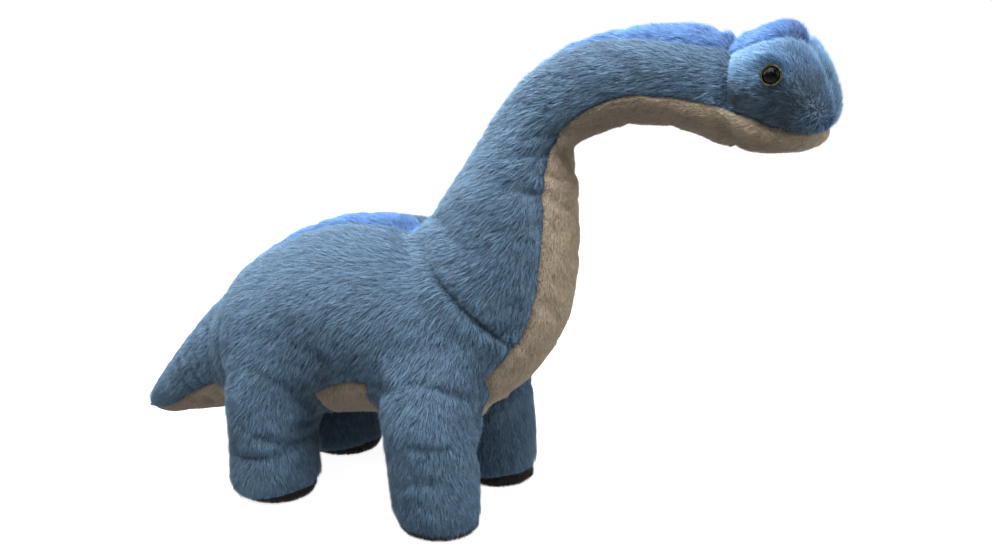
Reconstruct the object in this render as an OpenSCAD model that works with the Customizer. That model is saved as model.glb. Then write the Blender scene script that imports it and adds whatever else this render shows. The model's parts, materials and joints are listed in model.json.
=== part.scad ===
// Standing plush sauropod: stuffed fur-fabric sections sewn from side panels, gussets and soles.
// +X points to the snout, +Y to the animal's left, +Z up. The soles stand on Z = 0.

/* [Fabric] */
// Thickness of a fur panel, backing and pile together
pelt = 6; // [4:0.5:7]
// Gap between a panel and the stuffing under it
lining_gap = 1.5; // [1.2:0.1:2]
// Width of the seam line between two panels
seam = 0.6; // [0.4:0.1:1]

/* [Legs] */
// Distance from the middle of the stance to the front hips
front_leg_x = 84; // [80:1:90]
// Distance from the middle of the stance to the rear hips
rear_leg_x = 95; // [90:1:98]
// How far a front foot stands ahead of its hip
front_foot_ahead = 12; // [0:1:12]
// How much slimmer a front leg is at the foot than at the hip, on the radius
front_foot_taper = 3; // [0:0.5:4]
// Distance from the midline to the middle of a leg
leg_y = 70; // [66:1:74]
// Radius of a leg, with its fur
leg_r = 48; // [44:1:48]
// Height of the line that a leg bends about
hip_z = 108; // [100:1:112]
// Radius of a sole
sole_r = 41; // [36:1:42]
// Thickness of a sole
sole_h = 8; // [6:0.5:9]

/* [Eyes] */
// Diameter of an eye, with its iris ring
eye_d = 18; // [16:0.5:20]
// Radius of the eye's stem
stem_r = 2.5; // [2:0.1:3]

/* [Bending] */
// Angle that the neck bends each way
neck_swing = 12; // [5:1:12]
// Angle that the head nods each way
head_swing = 15; // [5:1:15]
// Angle that the tail lifts
tail_up = 20; // [10:1:20]
// Angle that the tail drops
tail_down = 10; // [5:1:12]
// Angle that a leg bends each way
leg_swing = 12; // [5:1:12]
// Gap between a section's rounded end and the socket that it turns in
socket_gap = 0.5; // [0.4:0.1:0.8]

/* [Hidden] */

// Colours
BLUE = "#7b9cba";
BRIGHT = "#6c93cf";
BEIGE = "#b5a78f";
DARK = "#2b2226";
FILL = "#f1efe8";

// Which of a row's numbers is which. The back point and the belly point are the ends of the
// section's height in the mid-plane, and each seam angle is measured from the nearer of them.
BACK_X = 0;
BACK_Z = 1;
BELLY_X = 2;
BELLY_Z = 3;
HALF_W = 4;
SQUARE = 5;
BACK_SEAM = 6;
BELLY_SEAM = 7;

// The animal's cross-sections from tail tip to snout, measured from the middle of the stance.
SECTIONS = [
    [-314,  45, -314,  40,   4, 2.0, 35, 20],
    [-309,  57, -310,  32,  13, 2.0, 34, 20],
    [-294,  80, -289,  31,  24, 2.0, 28, 30],
    [-265, 114, -256,  37,  37, 2.0, 22, 50],
    [-229, 154, -218,  48,  50, 2.0, 18, 60],
    [-191, 195, -175,  60,  62, 2.0, 15, 66],
    [-151, 233, -140,  65,  90, 2.6, 13, 52],
    [-104, 263,  -92,  76, 103, 3.0, 13, 60],
    [ -50, 286,  -46,  83, 106, 2.6, 13, 50],
    [   0, 293,    9,  92, 104, 2.5, 13, 66],
    [  30, 294,   63,  99, 100, 3.0, 13, 62],
    [  45, 295,  127, 114,  92, 2.8, 12, 46],
    [  53, 296,  185, 176,  76, 2.1, 12, 40],
    [  68, 319,  201, 231,  74, 2.0, 12, 37],
    [  86, 345,  204, 288,  71, 2.0, 12, 37],
    [ 104, 371,  202, 332,  62, 2.0, 14, 39],
    [ 120, 396,  199, 356,  53, 2.0, 16, 39],
    [ 138, 423,  201, 369,  47, 2.0, 17, 41],
    [ 163, 450,  210, 380,  45, 2.0, 18, 49],
    [ 192, 470,  227, 391,  45, 2.0, 21, 54],
    [ 224, 482,  244, 398,  46, 2.0, 20, 60],
    [ 257, 490,  267, 402,  48, 2.0, 33, 66],
    [ 290, 492,  294, 401,  49, 2.0, 36, 69],
    [ 320, 492,  323, 394,  50, 2.0, 40, 73],
    [ 349, 486,  355, 386,  49, 2.0, 37, 74],
    [ 367, 495,  372, 384,  59, 2.2, 42, 68],
    [ 385, 501,  391, 385,  65, 2.4, 38, 62],
    [ 402, 498,  410, 388,  62, 2.4, 38, 54],
    [ 413, 478,  424, 394,  55, 2.3,  3, 43],
    [ 426, 460,  432, 401,  46, 2.2,  0, 34],
    [ 434, 445,  436, 411,  31, 2.0,  0, 14],
    [ 437, 431,  437, 422,   8, 2.0,  0,  6]
];
TAIL_ROOT = 5;
NECK_ROOT = 12;
HEAD_ROOT = 24;
SNOUT = len(SECTIONS) - 1;

// The origin is under the middle of the whole length, so everything moves back by this much.
TIP_X = SECTIONS[0][BACK_X];
SNOUT_X = SECTIONS[SNOUT][BACK_X];
MIDDLE_X = (TIP_X + SNOUT_X) / 2;

// A leg's cross-sections from the sole up: height, and how much slimmer it is than leg_r.
LEG_FOOT = [
    [sole_h + 0.5, 5],
    [sole_h + 4, 2],
    [sole_h + 10, 0.5],
    [sole_h + 22, 0.2],
    [60, 0.1],
    [85, 0]
];

// Where an eye sits: its place along SECTIONS, its angle round the head, how deep its back is
// in the pile, and the length of its stem.
EYE_ROW = 26.2;
EYE_ANGLE = 75;
EYE_DEPTH = 5;
IRIS_W = 1.4;
DOME_RISE = 5;
STEM_L = 14;

LEG_SIDES = 20;
SPARE_SWING = 0.5;
BIG = 400;
TURN = 57.3;

// A row of SECTIONS at t, with a smooth curve between the rows given.
function section(t) =
    let (
        last = len(SECTIONS) - 1,
        i = min(floor(t), last - 1),
        f = t - i,
        a = SECTIONS[max(i - 1, 0)],
        b = SECTIONS[i],
        c = SECTIONS[i + 1],
        d = SECTIONS[min(i + 2, last)]
    )
    0.5 * (2 * b + (c - a) * f + (2 * a - 5 * b + 4 * c - d) * f * f
        + (3 * b - a - 3 * c + d) * f * f * f);

// Rows from one section to another, in equal steps.
function sections(from, to, steps) =
    [for (k = [0 : steps]) section(from + (to - from) * k / steps)];

// Middle, half height and forward direction of a row, each as [x, z].
function centre(row) = [(row[BACK_X] + row[BELLY_X]) / 2, (row[BACK_Z] + row[BELLY_Z]) / 2];
function half(row) = [(row[BACK_X] - row[BELLY_X]) / 2, (row[BACK_Z] - row[BELLY_Z]) / 2];
function forward(row) = [half(row)[1], -half(row)[0]] / norm(half(row));

// A point of the outer surface, at an angle round the body from the back towards the left.
function signed_pow(v, p) = sign(v) * pow(abs(v), p);
function skin_point(row, angle) =
    let (
        e = cos(angle) < 0 ? row[SQUARE] : 2,
        up = signed_pow(cos(angle), 2 / e),
        side = signed_pow(sin(angle), 2 / e),
        p = centre(row) + up * half(row)
    )
    [p[0], side * row[HALF_W], p[1]];

// The surface normal at a row of a list, from the points around it.
function skin_normal(rows, i, angle) =
    let (
        a = max(i - 1, 0),
        b = min(i + 1, len(rows) - 1),
        along = skin_point(rows[b], angle) - skin_point(rows[a], angle),
        around = skin_point(rows[i], angle + 2) - skin_point(rows[i], angle - 2),
        n = cross(along, around)
    )
    n / norm(n);
function inset_point(rows, i, angle, depth) =
    skin_point(rows[i], angle) - depth * skin_normal(rows, i, angle);

// A section's end rounded off inside its socket. The rounding is a barrel about the bending
// line, reach high and wide half_w, so that it stays in its socket as it turns.
function barrel_centre(reach, half_w) = (reach * reach - half_w * half_w) / (2 * reach);
function barrel_r(reach, half_w) = reach - barrel_centre(reach, half_w);
function rounded_row(row, angle, side) =
    let (
        reach = norm(half(row)),
        w = row[HALF_W],
        d = reach * sin(angle),
        c = centre(row) + side * d * forward(row),
        h = half(row) * cos(angle),
        width = sqrt(max(pow(barrel_r(reach, w), 2) - pow(d - barrel_centre(reach, w), 2), 1))
    )
    [c[0] + h[0], c[1] + h[1], c[0] - h[0], c[1] - h[1], width, 2,
     row[BACK_SEAM], row[BELLY_SEAM]];
ROUNDING = [78, 62, 46, 32, 18];
HALF_STEPS = 2;

// The rows of each section of the body, all from the rear to the front.
TORSO_ROWS = sections(TAIL_ROOT, NECK_ROOT, 14);
TAIL_ROWS = concat(
    sections(0, TAIL_ROOT, 12),
    [for (k = [len(ROUNDING) - 1 : -1 : 0]) rounded_row(SECTIONS[TAIL_ROOT], ROUNDING[k], 1)]
);
NECK_ROWS = concat(
    [for (a = ROUNDING) rounded_row(SECTIONS[NECK_ROOT], a, -1)],
    sections(NECK_ROOT, HEAD_ROOT, 24)
);
HEAD_ROWS = concat(
    [for (a = ROUNDING) rounded_row(SECTIONS[HEAD_ROOT], a, -1)],
    sections(HEAD_ROOT, SNOUT, HALF_STEPS * (SNOUT - HEAD_ROOT))
);

// The row of the head where the crown gusset comes to a point, and the side panels meet
CROWN_END = len(ROUNDING) + HALF_STEPS * (28 - HEAD_ROOT);

// A leg's rows run up from the foot, with its rear as their back point. A front leg leans, so
// that its foot stands ahead of its hip, and tapers a little.
function foot_ahead(x) = x > 0 ? front_foot_ahead : 0;
function foot_taper(x) = x > 0 ? front_foot_taper : 0;
function leg_row(x, z, r) =
    let (axis = x + foot_ahead(x) * max(1 - z / hip_z, 0))
    [axis - r, z, axis + r, z, r, 2, 0, 0];
function leg_rows(x) = concat(
    [for (f = LEG_FOOT) leg_row(x, f[0], leg_r - f[1] - foot_taper(x) * (1 - f[0] / hip_z))],
    [leg_row(x, hip_z, leg_r)],
    [for (k = [len(ROUNDING) - 1 : -1 : 0])
        leg_row(x, hip_z + leg_r * sin(ROUNDING[k]), leg_r * cos(ROUNDING[k]))]
);

// The angles round the body where each panel starts and ends, half a seam short of the line.
function panel_range(row, side) =
    let (
        gap = seam / 2 / row[HALF_W] * TURN,
        back = max(row[BACK_SEAM], 0),
        belly = 180 - row[BELLY_SEAM]
    )
    side == "back" ? [gap - back, back - gap]
    : side == "left" ? [back + gap, belly - gap]
    : side == "belly" ? [belly + gap, 360 - belly - gap]
    : [360 - belly + gap, 360 - back - gap];

// A panel of fur fabric: a curved sheet as thick as the pelt, over rows first to last.
module panel(rows, side, first, last, steps) {
    m = last - first + 1;
    n = steps + 1;
    grid = [for (i = [first : last]) for (j = [0 : steps])
        let (range = panel_range(rows[i], side))
        [i, range[0] + (range[1] - range[0]) * j / steps]];
    outer = [for (g = grid) skin_point(rows[g[0]], g[1])];
    inner = [for (g = grid) inset_point(rows, g[0], g[1], pelt)];
    function out_id(i, j) = i * n + j;
    function in_id(i, j) = m * n + i * n + j;
    sheets = [for (i = [0 : m - 2]) for (j = [0 : n - 2]) each [
        [out_id(i, j), out_id(i, j + 1), out_id(i + 1, j + 1)],
        [out_id(i, j), out_id(i + 1, j + 1), out_id(i + 1, j)],
        [in_id(i, j), in_id(i + 1, j + 1), in_id(i, j + 1)],
        [in_id(i, j), in_id(i + 1, j), in_id(i + 1, j + 1)]
    ]];
    seams = [for (i = [0 : m - 2]) each [
        [out_id(i, 0), out_id(i + 1, 0), in_id(i + 1, 0)],
        [out_id(i, 0), in_id(i + 1, 0), in_id(i, 0)],
        [out_id(i, n - 1), in_id(i + 1, n - 1), out_id(i + 1, n - 1)],
        [out_id(i, n - 1), in_id(i, n - 1), in_id(i + 1, n - 1)]
    ]];
    ends = [for (j = [0 : n - 2]) each [
        [out_id(0, j), in_id(0, j + 1), out_id(0, j + 1)],
        [out_id(0, j), in_id(0, j), in_id(0, j + 1)],
        [out_id(m - 1, j), out_id(m - 1, j + 1), in_id(m - 1, j + 1)],
        [out_id(m - 1, j), in_id(m - 1, j + 1), in_id(m - 1, j)]
    ]];
    polyhedron(concat(outer, inner), concat(sheets, seams, ends));
}

// The stuffing of a section: a closed form just inside its panels.
module stuffing(rows, first, last, around) {
    m = last - first + 1;
    depth = pelt + lining_gap;
    points = [for (i = [first : last]) for (j = [0 : around - 1])
        inset_point(rows, i, 360 * j / around, depth)];
    function id(i, j) = i * around + (j % around);
    function ring_middle(i) = (points[id(i, 0)] + points[id(i, around / 2)]) / 2;
    sides = [for (i = [0 : m - 2]) for (j = [0 : around - 1]) each [
        [id(i, j), id(i, j + 1), id(i + 1, j + 1)],
        [id(i, j), id(i + 1, j + 1), id(i + 1, j)]
    ]];
    rear = [for (j = [0 : around - 1]) [m * around, id(0, j + 1), id(0, j)]];
    front = [for (j = [0 : around - 1]) [m * around + 1, id(m - 1, j), id(m - 1, j + 1)]];
    polyhedron(
        concat(points, [ring_middle(0), ring_middle(m - 1)]),
        concat(sides, rear, front)
    );
}

// Everything below a plane through the bending line, which rises from +X at an angle.
module half_space(angle) {
    rotate([0, -angle, 0]) translate([-BIG, -BIG, -2 * BIG]) cube([2 * BIG, 2 * BIG, 2 * BIG]);
}

// The room that a section needs in the one it bends on: a ball about the bending line, and the
// space that the section sweeps on either side of the seam. The swings are the section's turns
// each way, counterclockwise and clockwise as seen from the animal's right.
module root_socket(root, facing, ccw_swing, cw_swing) {
    row = SECTIONS[root];
    c = centre(row);
    h = half(row);
    seam_angle = atan2(h[1], h[0]) + (facing > 0 ? 0 : 180);
    translate([c[0], 0, c[1]]) {
        sphere(max(norm(h), row[HALF_W]) + socket_gap, $fn = 72);
        half_space(seam_angle + ccw_swing + SPARE_SWING);
        half_space(seam_angle - cw_swing - SPARE_SWING);
    }
}
// A ball for the rounded top of the leg, and a cone for what swings below it.
module hip_socket(x, y) {
    r = leg_r + socket_gap;
    sweep = 50;
    rise = 5;
    slope = leg_swing + atan2(foot_ahead(x), hip_z) + SPARE_SWING;
    top_r = (r - rise * sin(slope)) / cos(slope);
    foot_r = (r + sweep * sin(slope)) / cos(slope);
    translate([x, y, hip_z]) {
        sphere(r, $fn = 72);
        translate([0, 0, -sweep]) cylinder(sweep + rise, foot_r, top_r, $fn = 72);
    }
}
module body_sockets() {
    root_socket(NECK_ROOT, 1, neck_swing, neck_swing);
    root_socket(TAIL_ROOT, -1, tail_down, tail_up);
    for (x = [front_leg_x, -rear_leg_x]) for (y = [leg_y, -leg_y]) hip_socket(x, y);
}

// Moves a piece from the middle of the stance to the part's own origin.
module placed() {
    translate([-MIDDLE_X, 0, 0]) children();
}

// Torso
module torso_panel(side, steps) {
    placed() difference() {
        panel(TORSO_ROWS, side, 0, len(TORSO_ROWS) - 1, steps);
        body_sockets();
    }
}
module torso_stuffing() {
    color(FILL) placed() difference() {
        stuffing(TORSO_ROWS, 0, len(TORSO_ROWS) - 1, 28);
        body_sockets();
    }
}
module right_flank_panel() { color(BLUE) torso_panel("right", 9); }
module left_flank_panel() { color(BLUE) torso_panel("left", 9); }
module back_gusset() { color(BRIGHT) torso_panel("back", 3); }
module belly_gusset() { color(BEIGE) torso_panel("belly", 12); }

// Neck, whose panels start on the rounded end, where the torso's panels stop
PANEL_START = len(ROUNDING) - 1;
module neck_panel(side, steps) {
    placed() difference() {
        panel(NECK_ROWS, side, PANEL_START, len(NECK_ROWS) - 1, steps);
        root_socket(HEAD_ROOT, 1, head_swing, head_swing);
    }
}
module neck_stuffing() {
    color(FILL) placed() difference() {
        stuffing(NECK_ROWS, 0, len(NECK_ROWS) - 1, 20);
        root_socket(HEAD_ROOT, 1, head_swing, head_swing);
    }
}
module neck_right_panel() { color(BLUE) neck_panel("right", 7); }
module neck_left_panel() { color(BLUE) neck_panel("left", 7); }
module neck_nape_gusset() { color(BRIGHT) neck_panel("back", 6); }
module neck_throat_gusset() { color(BEIGE) neck_panel("belly", 9); }

// Head, with a stem hole and a trimmed patch of pile for each eye
module at_eye(side) {
    rows = [for (step = [-0.5, 0, 0.5]) section(EYE_ROW + step)];
    p = skin_point(rows[1], side * EYE_ANGLE);
    n = skin_normal(rows, 1, side * EYE_ANGLE);
    translate(p) rotate([0, acos(n[2]), atan2(n[1], n[0])]) children();
}
module eye_hole(side) {
    at_eye(side) {
        translate([0, 0, -EYE_DEPTH]) cylinder(20, eye_d / 2 + 1, eye_d / 2 + 1, $fn = 48);
        translate([0, 0, -20]) cylinder(20, stem_r + 0.3, stem_r + 0.3, $fn = 48);
    }
}
module head_panel(side, steps, end = len(HEAD_ROWS) - 1) {
    placed() difference() {
        panel(HEAD_ROWS, side, PANEL_START, end, steps);
        if (side == "left") eye_hole(1);
        if (side == "right") eye_hole(-1);
    }
}
module head_stuffing() {
    pocket = STEM_L + 2;
    color(FILL) placed() difference() {
        stuffing(HEAD_ROWS, 0, len(HEAD_ROWS) - 2, 20);
        for (side = [-1, 1]) at_eye(side)
            translate([0, 0, -pocket]) cylinder(pocket, eye_d / 2, eye_d / 2, $fn = 48);
    }
}
module head_right_panel() { color(BLUE) head_panel("right", 7); }
module head_left_panel() { color(BLUE) head_panel("left", 7); }
module head_crown_gusset() { color(BRIGHT) head_panel("back", 5, CROWN_END); }
module head_chin_gusset() { color(BEIGE) head_panel("belly", 9); }

// Tail, whose panels stop on its rounded root
module tail_panel(side, steps) {
    placed() panel(TAIL_ROWS, side, 0, len(TAIL_ROWS) - len(ROUNDING), steps);
}
module tail_stuffing() {
    color(FILL) placed() stuffing(TAIL_ROWS, 3, len(TAIL_ROWS) - 1, 18);
}
module tail_right_panel() { color(BLUE) tail_panel("right", 5); }
module tail_left_panel() { color(BLUE) tail_panel("left", 5); }
module tail_top_gusset() { color(BRIGHT) tail_panel("back", 3); }
module tail_underside_gusset() { color(BEIGE) tail_panel("belly", 9); }

// Legs, each an outer and an inner panel round a stuffed column, closed by a sole
module leg_panel(x, y, outer) {
    side = (y > 0) == outer ? "left" : "right";
    color(BLUE) placed() translate([0, y, 0])
        panel(leg_rows(x), side, 0, len(LEG_FOOT) + len(ROUNDING), LEG_SIDES / 2);
}
module leg_stuffing(x, y) {
    rows = leg_rows(x);
    color(FILL) placed() translate([0, y, 0]) stuffing(rows, 1, len(rows) - 1, LEG_SIDES);
}
module sole(x, y) {
    edge = 4;
    color(DARK) placed() translate([x + foot_ahead(x), y, 0]) rotate_extrude($fn = 72) {
        square([sole_r - edge, sole_h]);
        translate([0, edge]) square([sole_r, sole_h - edge]);
        translate([sole_r - edge, edge]) circle(edge, $fn = 48);
    }
}
module front_right_leg_stuffing() { leg_stuffing(front_leg_x, -leg_y); }
module front_right_leg_outer_panel() { leg_panel(front_leg_x, -leg_y, true); }
module front_right_leg_inner_panel() { leg_panel(front_leg_x, -leg_y, false); }
module front_right_sole() { sole(front_leg_x, -leg_y); }
module front_left_leg_stuffing() { leg_stuffing(front_leg_x, leg_y); }
module front_left_leg_outer_panel() { leg_panel(front_leg_x, leg_y, true); }
module front_left_leg_inner_panel() { leg_panel(front_leg_x, leg_y, false); }
module front_left_sole() { sole(front_leg_x, leg_y); }
module rear_right_leg_stuffing() { leg_stuffing(-rear_leg_x, -leg_y); }
module rear_right_leg_outer_panel() { leg_panel(-rear_leg_x, -leg_y, true); }
module rear_right_leg_inner_panel() { leg_panel(-rear_leg_x, -leg_y, false); }
module rear_right_sole() { sole(-rear_leg_x, -leg_y); }
module rear_left_leg_stuffing() { leg_stuffing(-rear_leg_x, leg_y); }
module rear_left_leg_outer_panel() { leg_panel(-rear_leg_x, leg_y, true); }
module rear_left_leg_inner_panel() { leg_panel(-rear_leg_x, leg_y, false); }
module rear_left_sole() { sole(-rear_leg_x, leg_y); }

// Eyes: a domed eye on a stem, an iris ring round it, and a washer that locks the stem inside
module eye_dome(side) {
    r = eye_d / 2 - IRIS_W;
    ball = (r * r + DOME_RISE * DOME_RISE) / (2 * DOME_RISE);
    color("black") placed() at_eye(side) {
        translate([0, 0, -EYE_DEPTH]) rotate_extrude($fn = 72) intersection() {
            translate([0, DOME_RISE - ball]) circle(ball, $fn = 96);
            square([r, DOME_RISE]);
        }
        translate([0, 0, -STEM_L]) cylinder(STEM_L - EYE_DEPTH, stem_r, stem_r, $fn = 48);
    }
}
module iris_ring(side) {
    fit = 0.1;
    color("#b29b4e") placed() at_eye(side) translate([0, 0, -EYE_DEPTH])
        rotate_extrude($fn = 72)
            translate([eye_d / 2 - IRIS_W + fit, 0]) square([IRIS_W - fit, 1.6]);
}
module eye_washer(side) {
    thick = 1.6;
    r = eye_d / 2 - 3;
    bore_r = stem_r + 0.05;
    clear = 2.6;
    color("white") placed() at_eye(side) translate([0, 0, -pelt - clear - thick]) difference() {
        cylinder(thick, r, r, $fn = 48);
        translate([0, 0, -1]) cylinder(thick + 2, bore_r, bore_r, $fn = 48);
    }
}
module right_eye_dome() { eye_dome(-1); }
module right_iris_ring() { iris_ring(-1); }
module right_eye_washer() { eye_washer(-1); }
module left_eye_dome() { eye_dome(1); }
module left_iris_ring() { iris_ring(1); }
module left_eye_washer() { eye_washer(1); }

torso_stuffing();
right_flank_panel();
left_flank_panel();
back_gusset();
belly_gusset();
neck_stuffing();
neck_right_panel();
neck_left_panel();
neck_nape_gusset();
neck_throat_gusset();
head_stuffing();
head_right_panel();
head_left_panel();
head_crown_gusset();
head_chin_gusset();
tail_stuffing();
tail_right_panel();
tail_left_panel();
tail_top_gusset();
tail_underside_gusset();
front_right_leg_stuffing();
front_right_leg_outer_panel();
front_right_leg_inner_panel();
front_right_sole();
front_left_leg_stuffing();
front_left_leg_outer_panel();
front_left_leg_inner_panel();
front_left_sole();
rear_right_leg_stuffing();
rear_right_leg_outer_panel();
rear_right_leg_inner_panel();
rear_right_sole();
rear_left_leg_stuffing();
rear_left_leg_outer_panel();
rear_left_leg_inner_panel();
rear_left_sole();
right_eye_dome();
right_iris_ring();
right_eye_washer();
left_eye_dome();
left_iris_ring();
left_eye_washer();
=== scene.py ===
"""Looks of a plush sauropod: fur-fabric skins, their pile, the stuffing and the eyes, all made
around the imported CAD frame. Lengths are in metres, in the CAD's frame."""

import json
import math

import bmesh
import bpy
import numpy as np
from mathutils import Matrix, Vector
from mathutils.bvhtree import BVHTree
from mathutils.kdtree import KDTree


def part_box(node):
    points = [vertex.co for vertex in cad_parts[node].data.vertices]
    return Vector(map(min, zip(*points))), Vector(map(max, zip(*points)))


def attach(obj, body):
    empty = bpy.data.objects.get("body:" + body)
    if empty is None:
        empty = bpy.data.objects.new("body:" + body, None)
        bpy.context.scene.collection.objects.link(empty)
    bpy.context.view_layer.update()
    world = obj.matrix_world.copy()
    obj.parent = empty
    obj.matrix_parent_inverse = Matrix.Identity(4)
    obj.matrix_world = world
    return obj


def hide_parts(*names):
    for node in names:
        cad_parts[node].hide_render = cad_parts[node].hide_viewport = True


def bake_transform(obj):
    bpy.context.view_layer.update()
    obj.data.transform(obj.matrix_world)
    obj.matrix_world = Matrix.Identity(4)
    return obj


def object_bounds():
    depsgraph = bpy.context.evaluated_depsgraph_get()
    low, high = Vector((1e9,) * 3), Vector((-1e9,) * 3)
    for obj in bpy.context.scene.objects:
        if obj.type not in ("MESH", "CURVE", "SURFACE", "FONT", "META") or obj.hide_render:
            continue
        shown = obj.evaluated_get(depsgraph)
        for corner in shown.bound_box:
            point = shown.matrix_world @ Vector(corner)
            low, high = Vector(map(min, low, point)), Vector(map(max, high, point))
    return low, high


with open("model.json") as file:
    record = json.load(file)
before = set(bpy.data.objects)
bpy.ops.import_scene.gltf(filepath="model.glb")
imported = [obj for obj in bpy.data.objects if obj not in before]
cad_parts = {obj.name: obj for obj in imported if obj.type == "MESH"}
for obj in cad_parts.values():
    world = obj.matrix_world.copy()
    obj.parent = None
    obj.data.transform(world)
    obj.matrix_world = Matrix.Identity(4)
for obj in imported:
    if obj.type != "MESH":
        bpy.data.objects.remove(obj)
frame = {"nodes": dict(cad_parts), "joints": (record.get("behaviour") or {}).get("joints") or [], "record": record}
CAD_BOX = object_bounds()
NODES = frame["nodes"]
JOINTS = {j["child"]: j for j in frame["joints"]}
SLOT_OF = {s["node"]: s["material_slot"] for s in frame["record"]["subparts"]}
BODY_OF = {n: b for b, group in frame["record"]["behaviour"]["bodies"].items() for n in group}
MM = 0.001
X, Y, Z = 0, 1, 2

# ---------------------------------------------------------------- driving dimensions
VOXEL = 4.0 * MM          # grain of the remeshed cover
SKIN_DEPTH = 6.2 * MM     # how far the blue fabric lies under the tips of its pile
BEIGE_DEPTH = 3.2 * MM    # the same on the beige fabric, whose pile is shorter
SOLE_DEPTH = 1.5 * MM     # and on a sole
FABRIC = 1.0 * MM         # thickness of the fabric backing
STUFFING_INSET = 6.0 * MM # how far a filling is drawn in, where it is thick enough
CREST_DROP = 1.5 * MM     # how far the crown is drawn in
FOOT_SWELL = 3.5 * MM     # how much fuller a rear foot is than the leg above it
FLOOR_Z = 0.0
SOLE_BAND = 14.5 * MM     # nothing above this is part of a sole

# Where the body bends: the tilt of each seam in the mid-plane in degrees, half its height, how
# far past the seam the cover would start to follow the moving body, and where it would follow it fully; these two
# are worked out but not used.
BENDS = {
    "neck": {"tilt": 138.0, "reach": 0.089, "ahead": 1, "start": 0.004, "end": 0.085},
    "head": {"tilt": 93.4, "reach": 0.050, "ahead": 1, "start": 0.003, "end": 0.030},
    "tail": {"tilt": 96.8, "reach": 0.068, "ahead": -1, "start": 0.004, "end": 0.070},
}
LEGS = [b for b in JOINTS if b.endswith("_leg")]
THIGH_R = 0.066           # how far from a hip the thigh is filled out
HAUNCH_HALF = 0.050       # how far before and behind a hip the flank slopes out to the leg
HAUNCH_RISE = (-0.018, 0.090)  # and between which heights over the hip
LEG_BLEND = (0.062, 0.024)  # heights between which a leg would take up its swing, worked out but not used
HIP_COVER = (0.058, 0.038)  # the fur of a leg's top covers the belly this near to its hip in x, y
CHIN_SEAM_Z = 0.4045      # the chin's seam runs level to the tip of the snout
CHIN_SEAM_X = 0.335       # from here on
TAIL_CAP_X = -0.3665      # and the top gusset's fur caps the tail behind here
BROW = (0.468, 0.015, 2.8)    # height and width of the bulge over the eyes, and how far it stands out
CHEEK = (0.422, 0.020, 4.0)   # the same of the hollow under them
EYE_PULL = 3.6 * MM       # how far a washer pulls the cover in at its eye
PUFF_FRAMES = 16          # how long the cloth simulation runs
PUFF_CAP = 2.5 * MM       # the furthest that it may move the cover
REAR_FEET_X = -0.06       # the feet behind here are the rear ones
TAIL_ROOT_X = -0.15       # a section's seam behind here is the tail's
HEAD_ROOT_X = 0.2         # and in front of here it is the head's
NAPE = (0.250, 0.035)     # the neck's seam starts to fade at this height, over this much more
SEAM_FADE = 5.5 * MM      # a faded seam acts as if it were this much further away
SEAM_HIDE = 25.0 * MM     # and a hidden one, on the beige, this much
FOLD_TRIM = (4.0 * MM, 0.45)  # a fold this deep takes this share of the pile's length

# ---------------------------------------------------------------- panels and slots
PANELS = [n for n in NODES if SLOT_OF[n].startswith("fur_") or SLOT_OF[n] == "sole_plush"]
STUFFINGS = [n for n in NODES if SLOT_OF[n] == "stuffing"]
LABEL = {n: i for i, n in enumerate(PANELS)}


# ---------------------------------------------------------------- small tools
def smooth_noise(points, cell, seed):
    """Random vectors from -1 to 1 that change smoothly over about one cell."""
    table = np.random.default_rng(seed).uniform(-1, 1, (65536, 3))
    q = points / cell
    base = np.floor(q).astype(np.int64)
    f = q - base
    f = f * f * (3 - 2 * f)
    total = np.zeros_like(q)
    for corner in np.ndindex(2, 2, 2):
        c = base + corner
        key = (c[:, X] * 73856093) ^ (c[:, Y] * 19349663) ^ (c[:, Z] * 83492791)
        weight = np.prod(np.where(corner, f, 1 - f), axis=1)
        total += weight[:, None] * table[key & 65535]
    return total


def unit(v):
    return v / np.maximum(np.linalg.norm(v, axis=1, keepdims=True), 1e-9)


def coords(mesh):
    co = np.empty(len(mesh.vertices) * 3)
    mesh.vertices.foreach_get("co", co)
    return co.reshape(-1, 3)


def set_coords(mesh, co):
    mesh.vertices.foreach_set("co", co.ravel())
    mesh.update()


def normals(mesh):
    n = np.empty(len(mesh.vertices) * 3)
    mesh.vertices.foreach_get("normal", n)
    return n.reshape(-1, 3)


def edge_list(mesh):
    e = np.empty(len(mesh.edges) * 2, np.int64)
    mesh.edges.foreach_get("vertices", e)
    return e.reshape(-1, 2)


def neighbour_mean(co, edges, count):
    """The average of each vertex's neighbours along the edges given."""
    total = np.stack(
        [
            np.bincount(edges[:, 0], co[edges[:, 1], k], count)
            + np.bincount(edges[:, 1], co[edges[:, 0], k], count)
            for k in (X, Y, Z)
        ],
        axis=1,
    )
    number = np.bincount(edges.ravel(), minlength=count)
    return np.where(number[:, None] > 0, total / np.maximum(number, 1)[:, None], co)


def relaxed(co, edges, rounds, shrink=0.5, swell=-0.52):
    """Smooths a mesh without shrinking it: each round pulls in and then pushes out."""
    for _ in range(rounds):
        for share in (shrink, swell):
            co = co + share * (neighbour_mean(co, edges, len(co)) - co)
    return co


def new_object(name, mesh):
    obj = bpy.data.objects.new(name, mesh)
    bpy.context.scene.collection.objects.link(obj)
    return obj


def apply_modifiers(obj):
    """Turns an object's modifiers into its mesh."""
    graph = bpy.context.evaluated_depsgraph_get()
    graph.update()
    made = bpy.data.meshes.new_from_object(obj.evaluated_get(graph))
    obj.modifiers.clear()
    obj.data = made
    return obj


def remesh(obj, voxel):
    m = obj.modifiers.new("grain", "REMESH")
    m.mode = "VOXEL"
    m.voxel_size = voxel
    return apply_modifiers(obj)


# ---------------------------------------------------------------- the whole cover
def pivot(body):
    return np.array(JOINTS[body]["pos_m"])


def seam_forward(body):
    """The direction across a bending seam, towards the snout."""
    tilt = math.radians(BENDS[body]["tilt"])
    return np.array([math.sin(tilt), 0, -math.cos(tilt)])


def past_seam(points, body):
    """How far points lie past a bending seam, into the body that moves."""
    bend = BENDS[body]
    return bend["ahead"] * ((points - pivot(body)) @ seam_forward(body))


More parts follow.
